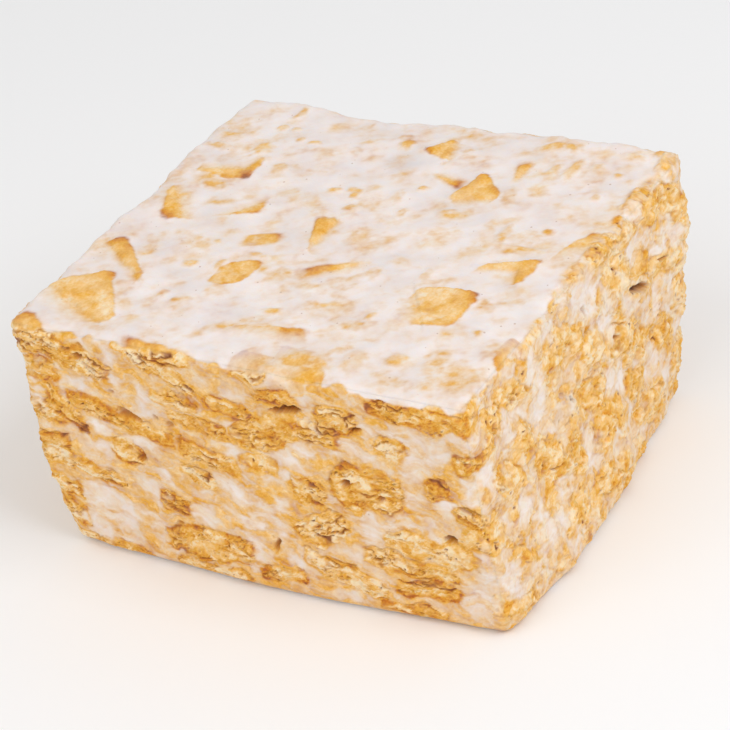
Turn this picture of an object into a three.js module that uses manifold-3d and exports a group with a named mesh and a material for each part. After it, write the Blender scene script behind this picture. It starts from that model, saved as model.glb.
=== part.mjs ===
// A marshmallow cereal treat: one square, cut by hand from a tray of toasted
// cereal squares that are bound in melted marshmallow. The marshmallow forms a
// smooth film over the top, where whole cereal squares lie nearly flat and lift
// a corner through it. The four knife cuts run across the squares, so each side
// shows their edges as thin golden slivers in layers, with open gaps between.
//
// Frame, in millimetres: +Z is up, the tray side rests on z = 0, the origin is
// under the middle, the front cut faces -Y and the right cut faces +X.

import * as THREE from 'three';
import { mergeVertices } from 'three/addons/utils/BufferGeometryUtils.js';
import { ImprovedNoise } from 'three/addons/math/ImprovedNoise.js';
import Module from 'manifold-3d';

// --- Driving dimensions -----------------------------------------------------

const WIDTH = 76;
const DEPTH = 70.6;
const HEIGHT = 42;
const EDGE_RADIUS = 1.8; // the knife's edge, softened by the marshmallow
const SKIN_STEP = 3.9; // distance between points of the block's skin
const SKIN_SWELL = -0.4; // the skin lies inside the form, as the pieces stand out of it
const PIECE_SWELL = 0.75; // past this no piece reaches, so none overhangs an edge

const SQUARE = 15; // side of one cereal square
const SQUARE_THICKNESS = 4; // a toasted square, from face to face
const LAYER_PITCH = 4.6; // height from one layer of squares to the next
const CHIP_ROOT = 1.4; // how deep a showing piece is rooted in the block
const CHIP_BEVEL = 0.45; // worn rim of a showing piece
const CHIP_SIDES = 7;
const CUT_LIFT = [0.35, 0.95]; // how far a sliver stands out of a knife cut

const LUMP_SPAN = 7; // distance between the swellings of the skin
const LUMP_HEIGHT_TOP = 0.4;
const LUMP_HEIGHT_CUT = 0.9;

const COLOUR = 0xe6c08a; // golden cereal seen through pinkish white marshmallow

// How far each corner of the hand-cut block strays from the plain box: at its
// foot along X and Y, and at its crown along X, Y and Z.
const CORNERS = [
  { side: [-1, -1], foot: [-0.2, 0.7], crown: [-1.4, -1.1, -0.2] },
  { side: [1, -1], foot: [0.8, 1.6], crown: [-0.2, -1.3, -0.4] },
  { side: [1, 1], foot: [-0.1, -1.4], crown: [1.2, 1.7, 1.2] },
  { side: [-1, 1], foot: [-0.2, -0.7], crown: [-1.0, 0.7, 1.0] },
];

// Where the block bulges or is worn: a place on the plain box, as shares of its
// half width, half depth and height, the reach of the bulge and its push.
const BULGES = [
  { at: [-1, -0.85, 1], reach: 7, push: [-0.9, -0.3, 0.2] },
  { at: [-1, -0.2, 1], reach: 20, push: [-1.2, 0, 0.4] },
  { at: [-1, 0.05, 1], reach: 7, push: [0.9, 0, 0] },
  { at: [-1, 0.6, 1], reach: 15, push: [-1.0, 0, 0.2] },
  { at: [-1, -0.8, 0.7], reach: 12, push: [-0.8, -0.4, 0] },
  { at: [-1, -0.95, 0.38], reach: 10, push: [-0.9, -0.6, 0] },
  { at: [-1, -1, 0], reach: 6, push: [0.6, 0.8, 0] },
  { at: [0.1, -1, 0], reach: 25, push: [0, -1.8, 0] },
  { at: [1, -0.4, 0], reach: 16, push: [2.4, 0, 0] },
  { at: [1, 0.1, 0.15], reach: 8, push: [1.2, 0, 0] },
  { at: [1, 1, 0], reach: 9, push: [-1.5, -1.0, 0] },
  { at: [0.65, 1, 1], reach: 12, push: [0, 0.2, 0.6] },
  { at: [-0.38, 1, 1], reach: 7, push: [0, -0.5, -1.0] },
];

// The cereal pieces that show best. Each has its middle, u along the face and v
// down the face from its top left corner as seen from outside, its length and
// width, its turn in degrees clockwise, how far it narrows towards its end (0 a
// bar, 1 a point), how far it stands out, and the slope that lifts its tip.
const TOP_PIECES = [
  { u: 60.6, v: 48.8, size: [9.7, 9.4], turn: 8, narrow: 0.1, lift: 0.5, slope: 0 },
  { u: 6.5, v: 59.5, size: [14, 12], turn: -128, narrow: 0, lift: 0.9, slope: 4 },
  { u: 8.0, v: 51.0, size: [13, 2.8], turn: 47, narrow: 0.3, lift: 0.8, slope: 0 },
  { u: 10.5, v: 31.5, size: [17, 13], turn: -23, narrow: 0, lift: 0.7, slope: 0 },
  { u: 6.0, v: 18.5, size: [13, 13], turn: -2, narrow: 0, lift: 0.6, slope: 0 },
  { u: 32.1, v: 36.5, size: [9.5, 4.0], turn: -112, narrow: 0.6, lift: 1.0, slope: 5 },
  { u: 50.2, v: 17.2, size: [8.5, 8.0], turn: -86, narrow: 0.8, lift: 1.0, slope: 6 },
  { u: 38.8, v: 8.0, size: [5.5, 5.0], turn: -90, narrow: 0.6, lift: 0.7, slope: 0 },
  { u: 66.0, v: 36.8, size: [10, 8], turn: -35, narrow: 0.2, lift: 0.8, slope: 5 },
  { u: 26.5, v: 48.0, size: [8.5, 6.0], turn: 40, narrow: 0.2, lift: 0.5, slope: 0 },
  { u: 48.0, v: 67.5, size: [11, 6.5], turn: 25, narrow: 0.2, lift: 0.7, slope: 0 },
  { u: 38.5, v: 61.8, size: [12, 2.6], turn: -14, narrow: 0.2, lift: 0.5, slope: 0 },
  { u: 40.0, v: 43.5, size: [7.5, 2.4], turn: -32, narrow: 0.2, lift: 0.5, slope: 0 },
  { u: 24.2, v: 39.5, size: [5, 3], turn: -25, narrow: 0.2, lift: 0.5, slope: 0 },
];
const FRONT_PIECES = [
  { u: 8.5, v: 4.6, size: [14, 5], turn: 14 },
  { u: 23.6, v: 3.4, size: [15, 3], turn: 22 },
  { u: 35.3, v: 8.3, size: [9, 3.4], turn: 18 },
  { u: 41.5, v: 11.5, size: [13, 5.5], turn: -16 },
  { u: 51.5, v: 8.4, size: [8, 5], turn: 0 },
  { u: 67.5, v: 3.6, size: [15, 4], turn: 5 },
  { u: 57.5, v: 18.5, size: [12, 7.5], turn: 0 },
  { u: 47.5, v: 20.9, size: [6, 4.6], turn: 14 },
  { u: 48.8, v: 27.3, size: [10, 5.4], turn: -28 },
  { u: 66.5, v: 28.0, size: [15, 4], turn: 8 },
  { u: 62.5, v: 33.0, size: [16, 4.5], turn: 2 },
  { u: 27.5, v: 35.5, size: [16, 6], turn: -6 },
  { u: 19.0, v: 15.8, size: [13, 3.4], turn: 12 },
  { u: 8.3, v: 26.0, size: [11, 3.4], turn: 14 },
  { u: 29.6, v: 18.2, size: [11, 3.6], turn: 10 },
];
const RIGHT_PIECES = [
  { u: 29.0, v: 8.0, size: [13, 5], turn: 24 },
  { u: 45.5, v: 1.8, size: [15, 3.4], turn: 8 },
  { u: 56.0, v: 10.5, size: [12, 4.5], turn: 26 },
  { u: 19.5, v: 22.5, size: [9, 6], turn: 38 },
  { u: 34.0, v: 19.5, size: [14, 4.5], turn: 34 },
  { u: 46.5, v: 16.5, size: [12, 4.5], turn: 24 },
  { u: 24.5, v: 33.5, size: [9, 4.5], turn: 28 },
  { u: 38.5, v: 31.0, size: [13, 4.5], turn: 30 },
  { u: 52.0, v: 28.5, size: [12, 4.5], turn: 26 },
  { u: 60.5, v: 26.0, size: [8, 5.5], turn: 10 },
  { u: 10.0, v: 10.5, size: [10, 4], turn: 40 },
  { u: 3.0, v: 24.5, size: [6, 5], turn: 10 },
];

// Gaps that the marshmallow didn't fill: length, height and depth.
const GAPS = [
  { face: 'front', u: 46.2, v: 6.1, size: [5.2, 2.0, 3.6], turn: -12 },
  { face: 'front', u: 16.7, v: 13.4, size: [6.0, 1.5, 2.8], turn: 20 },
  { face: 'front', u: 70.0, v: 25.3, size: [2.0, 1.6, 2.4], turn: 0 },
  { face: 'front', u: 54.2, v: 17.8, size: [2.4, 1.3, 2.2], turn: -15 },
  { face: 'right', u: 52.8, v: 12.4, size: [5.0, 1.6, 3.2], turn: 35 },
  { face: 'right', u: 62.0, v: 12.3, size: [3.6, 1.4, 2.6], turn: 20 },
  { face: 'right', u: 28.2, v: 17.0, size: [2.6, 1.2, 2.4], turn: 45 },
  { face: 'back', u: 22.0, v: 17.0, size: [5.0, 1.6, 3.0], turn: 12 },
  { face: 'left', u: 41.0, v: 23.0, size: [4.6, 1.5, 3.0], turn: -10 },
];

// How many more slivers the rule adds to each cut, and where its draws start.
const MORE_SLIVERS = { front: 8, right: 9, back: 20, left: 18 };
const MORE_GAP = 1.5; // clear of the pieces that are already there
const SEED = 2417;

// --- The block's form -------------------------------------------------------

const HALF = new THREE.Vector3(WIDTH / 2, DEPTH / 2, HEIGHT / 2);
const FACES = {
  top: { out: [0, 0, 1], right: [1, 0, 0], span: [WIDTH, DEPTH] },
  front: { out: [0, -1, 0], right: [1, 0, 0], span: [WIDTH, HEIGHT] },
  right: { out: [1, 0, 0], right: [0, 1, 0], span: [DEPTH, HEIGHT] },
  back: { out: [0, 1, 0], right: [-1, 0, 0], span: [WIDTH, HEIGHT] },
  left: { out: [-1, 0, 0], right: [0, -1, 0], span: [DEPTH, HEIGHT] },
};

const mix = (from, to, share) => from + (to - from) * share;
const smooth = (x) => x * x * (3 - 2 * x);

// The draws: a plain multiplying generator, so that each build gives one form.
function draws(seed) {
  const FACTOR = 48271;
  const MODULUS = 2147483647;
  let state = seed;
  return (low = 0, high = 1) => {
    state = (state * FACTOR) % MODULUS;
    return mix(low, high, state / MODULUS);
  };
}

// A point of the plain box, moved to where the hand-cut block has it: the eight
// corners carry the box along, and each bulge pushes the skin near it.
function cutForm(point) {
  const height = point.z / HEIGHT;
  const moved = point.clone();
  for (const { side, foot, crown } of CORNERS) {
    const share = (1 + (side[0] * point.x) / HALF.x) * (1 + (side[1] * point.y) / HALF.y) / 4;
    moved.x += share * mix(foot[0], crown[0], height);
    moved.y += share * mix(foot[1], crown[1], height);
    moved.z += share * crown[2] * height;
  }
  for (const { at, reach, push } of BULGES) {
    const middle = new THREE.Vector3(at[0] * HALF.x, at[1] * HALF.y, at[2] * HEIGHT);
    const strength = Math.exp(-point.distanceToSquared(middle) / reach ** 2);
    moved.addScaledVector(new THREE.Vector3(...push), strength);
  }
  return moved;
}

// The box with its edges rounded: what lies past the inner box, which is smaller
// by the radius, is drawn onto a ball of that radius. Below the foot it stays
// sharp, because the foot is cut flat afterwards.
function roundEdges(point) {
  const inner = point.clone();
  inner.x = THREE.MathUtils.clamp(point.x, EDGE_RADIUS - HALF.x, HALF.x - EDGE_RADIUS);
  inner.y = THREE.MathUtils.clamp(point.y, EDGE_RADIUS - HALF.y, HALF.y - EDGE_RADIUS);
  inner.z = Math.min(point.z, HEIGHT - EDGE_RADIUS);
  const out = point.clone().sub(inner).normalize();
  return { place: inner.addScaledVector(out, EDGE_RADIUS), out };
}

// A lattice place along one axis: even steps, with the last one at each end cut
// to the edge radius.
function latticePlace(share, half) {
  return THREE.MathUtils.clamp(share * (half + SKIN_STEP - EDGE_RADIUS), -half, half);
}

// The whole block, with its skin moved out by the swell.
function blockGeometry(swell) {
  const steps = [HALF.x, HALF.y, HALF.z].map((half) => Math.round((2 * half) / SKIN_STEP));
  const box = new THREE.BoxGeometry(2, 2, 2, ...steps);
  box.deleteAttribute('normal');
  box.deleteAttribute('uv');
  const geometry = mergeVertices(box);
  const noise = new ImprovedNoise();
  const positions = geometry.getAttribute('position');
  const point = new THREE.Vector3();
  for (let i = 0; i < positions.count; i += 1) {
    point.fromBufferAttribute(positions, i);
    point.x = latticePlace(point.x, HALF.x);
    point.y = latticePlace(point.y, HALF.y);
    point.z = HALF.z + latticePlace(point.z, HALF.z);
    if (point.z < EDGE_RADIUS) point.z -= EDGE_RADIUS;
    const { place, out } = roundEdges(point);
    const lump = noise.noise(place.x / LUMP_SPAN, place.y / LUMP_SPAN, place.z / LAYER_PITCH);
    const moved = cutForm(place);
    const height = mix(LUMP_HEIGHT_CUT, LUMP_HEIGHT_TOP, smooth(Math.max(out.z, 0)));
    moved.addScaledVector(out, lump * height + swell);
    positions.setXYZ(i, moved.x, moved.y, moved.z);
  }
  return geometry;
}

// --- The pieces that show ---------------------------------------------------

// The frame at a place on a face: x runs right along the face, y up it and z out
// of it, turned clockwise by the piece's turn.
function faceFrame(face, u, v, turn = 0) {
  const out = new THREE.Vector3(...FACES[face].out);
  const right = new THREE.Vector3(...FACES[face].right);
  const up = out.clone().cross(right);
  const [across, down] = FACES[face].span;
  const at = new THREE.Vector3(0, 0, HEIGHT / 2);
  at.add(out.clone().multiply(HALF));
  at.addScaledVector(right, u - across / 2).addScaledVector(up, down / 2 - v);
  const origin = cutForm(at);
  const along = cutForm(at.clone().add(right)).sub(origin);
  const upward = cutForm(at.clone().add(up)).sub(origin);
  const normal = along.clone().cross(upward).normalize();
  along.normalize();
  const frame = new THREE.Matrix4().makeBasis(along, normal.clone().cross(along), normal);
  frame.setPosition(origin.addScaledVector(normal, SKIN_SWELL));
  return frame.multiply(new THREE.Matrix4().makeRotationZ(-THREE.MathUtils.degToRad(turn)));
}

// One broken piece of cereal: an uneven rounded bar or square, with a worn rim.
// Its outline is a superellipse whose points stray by a small draw, and which
// narrows along the piece. Its face is at z = lift.
function pieceGeometry({ size, narrow = 0, lift }, draw) {
  const BOXINESS = 0.55;
  const STRAY = 0.1;
  const outline = [];
  for (let i = 0; i < CHIP_SIDES; i += 1) {
    const angle = ((i + 0.5) / CHIP_SIDES) * 2 * Math.PI;
    const stray = 1 + draw(-STRAY, STRAY);
    const along = Math.sign(Math.cos(angle)) * Math.abs(Math.cos(angle)) ** BOXINESS * stray;
    const across = Math.sign(Math.sin(angle)) * Math.abs(Math.sin(angle)) ** BOXINESS * stray;
    const width = size[1] * (1 - (narrow * (1 + along)) / 2);
    outline.push(new THREE.Vector2((along * size[0]) / 2, (across * width) / 2));
  }
  const bevel = Math.min(CHIP_BEVEL, size[1] / 5, lift);
  return new THREE.ExtrudeGeometry(new THREE.Shape(outline), {
    depth: CHIP_ROOT + lift - bevel,
    bevelEnabled: true,
    bevelSegments: 1,
    bevelSize: bevel,
    bevelOffset: -bevel,
    bevelThickness: bevel,
  }).translate(0, 0, -CHIP_ROOT);
}

// One open gap: a flattened ball with few sides, half of it outside the face.
function gapGeometry([length, height, depth]) {
  return new THREE.IcosahedronGeometry(1, 1).scale(length / 2, height / 2, depth);
}

// A further sliver on a cut, drawn by rule: it lies in one of the layers, along
// the squares, and is turned a little. Cuts at a slant across a square are the
// longer ones.
function drawSliver(face, draw) {
  const [across, down] = FACES[face].span;
  const layers = Math.floor(down / LAYER_PITCH);
  const length = draw(0.45, 1) * SQUARE;
  const margin = EDGE_RADIUS + length / 2;
  return {
    u: draw(margin, across - margin),
    v: (Math.floor(draw(0, layers)) + 0.6) * LAYER_PITCH + draw(-0.6, 0.6),
    size: [length, draw(0.65, 1.1) * SQUARE_THICKNESS],
    turn: draw(-14, 22),
    narrow: draw(0, 0.4),
  };
}

function isClear(piece, others) {
  return others.every((other) => {
    const alongGap = Math.abs(piece.u - other.u) - (piece.size[0] + other.size[0]) / 2;
    const downGap = Math.abs(piece.v - other.v) - (piece.size[1] + other.size[1]) / 2;
    return alongGap > MORE_GAP || downGap > -MORE_GAP / 3;
  });
}

function piecesOn(face, placed, count, draw) {
  const MOST_TRIES = 4000;
  const pieces = [...placed];
  for (let tries = 0; pieces.length < placed.length + count && tries < MOST_TRIES; tries += 1) {
    const sliver = drawSliver(face, draw);
    if (isClear(sliver, pieces)) pieces.push(sliver);
  }
  return pieces.map((piece) => {
    const lift = piece.lift ?? draw(...CUT_LIFT);
    const frame = faceFrame(face, piece.u, piece.v, piece.turn);
    const tilt = THREE.MathUtils.degToRad(-(piece.slope ?? 0));
    frame.multiply(new THREE.Matrix4().makeRotationY(tilt));
    return pieceGeometry({ ...piece, lift }, draw).applyMatrix4(frame);
  });
}

// --- Joining ----------------------------------------------------------------

const wasm = await Module();
wasm.setup();

function toSolid(geometry) {
  const bare = geometry.clone();
  bare.deleteAttribute('normal');
  bare.deleteAttribute('uv');
  const merged = mergeVertices(bare);
  return new wasm.Manifold(new wasm.Mesh({
    numProp: 3,
    vertProperties: new Float32Array(merged.getAttribute('position').array),
    triVerts: new Uint32Array(merged.getIndex().array),
  }));
}

function toGeometry(solid) {
  const mesh = solid.getMesh();
  const geometry = new THREE.BufferGeometry();
  geometry.setAttribute('position', new THREE.Float32BufferAttribute(mesh.vertProperties, 3));
  geometry.setIndex(new THREE.Uint32BufferAttribute(mesh.triVerts, 1));
  geometry.computeVertexNormals();
  return geometry;
}

// What lies under the tray's floor is cut away, which leaves the foot flat.
function underFloor() {
  const MARGIN = 20;
  const depth = MARGIN;
  return new THREE.BoxGeometry(WIDTH + MARGIN, DEPTH + MARGIN, depth).translate(0, 0, -depth / 2);
}

function cerealTreat() {
  const draw = draws(SEED);
  const pieces = [
    ...piecesOn('top', TOP_PIECES, 0, draw),
    ...piecesOn('front', FRONT_PIECES, MORE_SLIVERS.front, draw),
    ...piecesOn('right', RIGHT_PIECES, MORE_SLIVERS.right, draw),
    ...piecesOn('back', [], MORE_SLIVERS.back, draw),
    ...piecesOn('left', [], MORE_SLIVERS.left, draw),
  ];
  const gaps = GAPS.map(({ face, u, v, size, turn }) =>
    gapGeometry(size).applyMatrix4(faceFrame(face, u, v, turn)));
  const showing = pieces.map(toSolid).reduce((sum, next) => sum.add(next));
  const trimmed = showing.intersect(toSolid(blockGeometry(PIECE_SWELL)));
  const whole = trimmed.add(toSolid(blockGeometry(SKIN_SWELL)));
  const opened = gaps.map(toSolid).reduce((rest, gap) => rest.subtract(gap), whole);
  return toGeometry(opened.subtract(toSolid(underFloor())));
}

// --- The model --------------------------------------------------------------

const treat = new THREE.Mesh(
  cerealTreat(),
  new THREE.MeshStandardMaterial({ color: COLOUR, roughness: 0.55, metalness: 0 }),
);
treat.name = 'cereal_treat';

const model = new THREE.Group();
model.name = 'marshmallow_cereal_treat';
model.add(treat);

export default model;
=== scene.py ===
import math
from functools import partial

import bpy
import numpy as np
from mathutils import Matrix, Vector


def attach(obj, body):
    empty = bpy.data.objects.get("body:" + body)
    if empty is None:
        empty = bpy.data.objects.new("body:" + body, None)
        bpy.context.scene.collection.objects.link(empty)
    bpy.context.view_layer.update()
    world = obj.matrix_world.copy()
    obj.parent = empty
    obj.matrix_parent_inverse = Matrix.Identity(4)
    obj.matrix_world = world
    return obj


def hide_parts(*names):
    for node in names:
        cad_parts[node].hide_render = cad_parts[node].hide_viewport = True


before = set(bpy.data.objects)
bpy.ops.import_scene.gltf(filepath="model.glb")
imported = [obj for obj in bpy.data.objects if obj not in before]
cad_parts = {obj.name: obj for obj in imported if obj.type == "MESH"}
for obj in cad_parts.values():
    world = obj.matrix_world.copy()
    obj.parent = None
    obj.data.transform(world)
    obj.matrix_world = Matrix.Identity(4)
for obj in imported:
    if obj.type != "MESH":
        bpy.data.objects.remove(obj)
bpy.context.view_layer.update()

# ---------------------------------------------------------------------------
# The block. A square of toasted cereal bound in melted marshmallow, pressed
# into a tray and cut by hand, which leaves it a little out of true, with a
# belly at the foot. Its sizes are in millimetres, and its meshes in metres.

MM = 0.001
HALF = np.array([38.0, 35.3, 21.0])  # from the block's middle to its cuts, and half its height
HEIGHT = 42.0

# How far each corner strays from the plain box: foot x, y and crown x, y, z.
CORNERS = [
    ((-1, -1), (-0.2, 0.7), (-1.4, -1.1, -0.2)),
    ((1, -1), (0.8, 1.6), (-0.2, -1.3, -0.4)),
    ((1, 1), (-0.1, -1.4), (1.2, 1.7, 1.2)),
    ((-1, 1), (-0.2, -0.7), (-1.0, 0.7, 1.0)),
]
# Where it bulges or is worn: a place in shares of the box, a reach and a push.
BULGES = [
    ((-1, -0.85, 1), 7, (-0.9, -0.3, 0.2)),
    ((-1, -0.2, 1), 20, (-1.2, 0, 0.4)),
    ((-1, 0.05, 1), 7, (0.9, 0, 0)),
    ((-1, 0.6, 1), 15, (-1.0, 0, 0.2)),
    ((-1, -0.8, 0.7), 12, (-0.8, -0.4, 0)),
    ((-1, -0.95, 0.38), 10, (-0.9, -0.6, 0)),
    ((-1, -1, 0), 6, (0.6, 0.8, 0)),
    ((0.1, -1, 0), 25, (0, -1.8, 0)),
    ((1, -0.4, 0), 16, (2.4, 0, 0)),
    ((1, 0.1, 0.15), 8, (1.2, 0, 0)),
    ((1, 1, 0), 9, (-1.5, -1.0, 0)),
    ((0.65, 1, 1), 12, (0, 0.2, 0.6)),
    ((-0.38, 1, 1), 7, (0, -0.5, -1.0)),
]


def cut_form(place):
    """The plain box's points moved to the hand-cut block's: each corner's stray times the product of
    the two shares towards it, foot and crown mixed by height, plus each bulge's push times
    exp(-(distance / reach) squared)."""
    moved = place.copy()
    rise = place[..., 2] / HEIGHT
    for side, foot, crown in CORNERS:
        share = (1 + side[0] * place[..., 0] / HALF[0]) * (1 + side[1] * place[..., 1] / HALF[1]) / 4
        moved[..., 0] += share * (foot[0] + (crown[0] - foot[0]) * rise)
        moved[..., 1] += share * (foot[1] + (crown[1] - foot[1]) * rise)
        moved[..., 2] += share * crown[2] * rise
    for at, reach, push in BULGES:
        middle = np.array([at[0] * HALF[0], at[1] * HALF[1], at[2] * HEIGHT])
        strength = np.exp(-((place - middle) ** 2).sum(-1) / reach**2)
        moved += strength[..., None] * np.array(push, float)
    return moved


# ---------------------------------------------------------------------------
# The cereal on the cuts. Squares of toasted graham dough lie in layers in the
# marshmallow, and the knife ran across them. So they show as slivers with a
# browned rim and pale, flaky crumb, with white pools and open gaps between.

SQUARE, THICKNESS = 15.0, 4.0  # of one piece of cereal
LAYER_PITCH = 4.6
# How far slivers, pools and gaps go on behind the cut.
SLIVER_DEPTH, POOL_DEPTH, GAP_DEPTH = 4.5, 3.0, 2.0
END_TAPER = 0.45  # the share of its thickness that a sliver has lost at its ends

# The faces as seen from outside: the way out, the way right, width and height.
FACES = {
    "front": ((0, -1, 0), (1, 0, 0), (76.0, HEIGHT)),
    "right": ((1, 0, 0), (0, 1, 0), (70.6, HEIGHT)),
    "back": ((0, 1, 0), (-1, 0, 0), (76.0, HEIGHT)),
    "left": ((-1, 0, 0), (0, -1, 0), (70.6, HEIGHT)),
}

# Slivers: middle from the face's top left corner, length, thickness and the
# turn in degrees, clockwise.
FRONT_SLIVERS = [
    (8.3, 4.4, 14, 5, 15), (35.3, 8.3, 8.5, 3.3, 20), (25.6, 8.9, 8, 2.6, 5), (25, 1.5, 10, 2.8, 0),
    (23.6, 3.5, 15, 3, 25), (40.5, 1.3, 6, 2.2, 0), (44, 4.4, 8, 2, -10), (41, 12, 12, 6, -20),
    (50.5, 10, 7, 4.4, 0), (54.2, 6.8, 6.5, 5, 0), (68, 3.4, 16, 4, 5), (62.5, 10.3, 5, 4.2, -20),
    (57.5, 18.5, 12, 8, 0), (47.5, 20.9, 6, 4.5, 15), (48.8, 27.3, 10, 5.5, -30),
    (66.7, 27.8, 15.5, 4, 8), (63, 31.5, 16, 3.5, 5), (65, 35.5, 11, 4, -5), (27.5, 35.5, 16, 6, -5),
    (40, 38, 8, 3, -10), (30.5, 18.5, 11, 3.6, 12), (29, 12.8, 11, 3, 8), (18.5, 15.8, 12, 3, 12),
    (10, 13.5, 8, 3.5, 15), (15, 20.8, 6, 4, 30), (8.3, 25.8, 10.5, 3, 15), (1.7, 23.5, 5, 5, 0),
    (1.4, 33, 11, 2.5, 80), (22, 29, 6, 4, 20), (27.5, 22.5, 7, 3, 20), (39, 17.6, 6, 2.5, 5),
    (5, 14.5, 11, 3, 55), (69.4, 16.4, 4, 4, 0), (73.9, 20.8, 5, 4, 50), (51.5, 35.5, 14, 4.5, 20),
    (74.5, 11, 4, 3.5, 0), (27, 40.4, 14, 2.4, 0), (62, 40.2, 12, 2.4, 0), (10, 40.4, 10, 2, 0),
]
RIGHT_SLIVERS = [
    (0.8, 2.5, 3, 5, 0), (5.8, 6.6, 5, 4.4, 20), (12.2, 6.4, 8, 4.4, 30), (28, 7.8, 13, 6, 20),
    (27, 10.8, 9, 1.6, 8), (36.5, 13.3, 8, 5, 25), (47, 6.2, 10, 6, 25), (47, 1.4, 15, 3, 5),
    (55, 9.2, 7, 4.4, 25), (62.5, 13.2, 9, 3.6, 15), (63, 2.8, 15, 5, 12), (45, 17, 10, 4.4, 24),
    (34, 20, 10, 5, 34), (19.5, 22.5, 9, 6.4, 38), (2, 24.6, 5, 5, 10), (8.5, 19, 9, 5.4, 50),
    (24.4, 33.8, 6, 5, 28), (39.5, 26.5, 10, 5.4, 30), (35.5, 29, 6, 2.4, 14), (49.5, 27.6, 9, 5.6, 26),
    (60.6, 26, 7, 4, 10), (54.5, 34.4, 14, 5, 12), (36.5, 36, 12, 5, 20), (67.2, 21.6, 6, 5, 15),
    (65.5, 32.8, 5, 4, 20), (8.6, 31.4, 8, 2, 40), (6, 39, 8, 2.4, 15), (26, 26, 8, 5, 30),
    (50, 21.4, 10, 4, 22), (14, 14.6, 6, 6, 40), (57, 21.5, 8, 3.4, 15), (45, 40.4, 13, 2.4, 4),
]
# Pools of marshmallow: middle, width, height and turn.
FRONT_POOLS = [
    (15.4, 4.0, 3.2, 9, 12), (2.4, 5.6, 3, 4, 0), (7.4, 9.4, 6.5, 2.8, 12), (5.3, 11.8, 1.8, 5, 0),
    (11.2, 16.6, 5, 4, 15), (20, 12.2, 5, 3.6, 0), (21, 9.3, 3.4, 3.4, 0), (18.3, 19.2, 6.6, 3.2, 10),
    (9.8, 21.2, 6, 3.2, 10), (21.1, 24, 3.4, 5, 10), (17.6, 27.2, 7, 3, 5), (27.8, 26, 3.2, 4.4, 0),
    (27.8, 30, 5.5, 5, 0), (34.4, 16.6, 7, 2.8, 30), (35.3, 12.6, 2.6, 3.6, 0), (33.6, 24.2, 7, 4.4, 20),
    (9.6, 32.4, 11, 7, 20), (5.4, 36.6, 6.4, 8, 0), (12, 37, 4, 7, 0), (18.3, 34.8, 4.4, 4.4, 0),
    (20.4, 38.6, 5, 2.4, 0), (36.6, 34.6, 4, 5, 0), (36.8, 29.2, 5.6, 6.4, 0), (49.7, 6.3, 2.4, 6, 0),
    (45.5, 14.8, 6.4, 4, -20), (43.4, 19.2, 8.6, 4, -10), (40.6, 24.6, 6, 4.6, 0), (40.4, 28.2, 6, 5, 0),
    (56, 12.4, 8, 3, 5), (58.6, 7, 4.6, 4, 0), (67, 7.6, 12, 4.4, 6), (66, 12.4, 4, 8, 0),
    (65.6, 18, 4, 9, 0), (64, 23.6, 8.4, 3.4, 0), (70, 9.6, 5, 4, 0), (75, 16.8, 2.6, 7, 0),
    (57.4, 26.4, 2.4, 5, 0), (75, 30, 2.6, 9, 0), (73.6, 36, 6, 6, 0), (51.4, 39.6, 6.4, 3, 0),
    (44.6, 34.4, 6, 5, 0), (53.6, 31, 4, 3, 0), (70.2, 19.4, 4, 3.4, 0), (59.5, 14.4, 3, 2, 0),
]
RIGHT_POOLS = [
    (20, 11, 3.6, 9, 5), (24, 3.4, 7, 4, 20), (35.6, 4.4, 9, 7, 25), (31.6, 1.4, 6, 2.4, 0),
    (41.4, 11.6, 6, 5, 40), (53.6, 5.6, 6, 4.4, 30), (65, 9.6, 8.4, 4.4, 20), (16.4, 32, 5, 9, -20),
    (3.2, 32.5, 6, 6, 30), (31.4, 29.6, 6, 5, 20), (23.6, 37.6, 7, 3.6, 0), (55.6, 28, 4.4, 5.4, 0),
    (61.6, 33.6, 5, 4, 0), (59, 20.6, 9, 4, 10), (45.6, 32.4, 3, 6, 10), (21.6, 28.4, 6, 3, -30),
    (9.4, 10.8, 3.4, 6, -10), (17.6, 4.6, 2.6, 5, 15), (10.4, 25.6, 5, 5, 30), (40, 21, 4, 2.4, 35),
    (53, 15.4, 8, 2.6, 22), (3, 14.6, 3.6, 6, 0), (66.5, 27.4, 4, 4, 0), (44.2, 24.4, 3, 5, 20),
]
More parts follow.
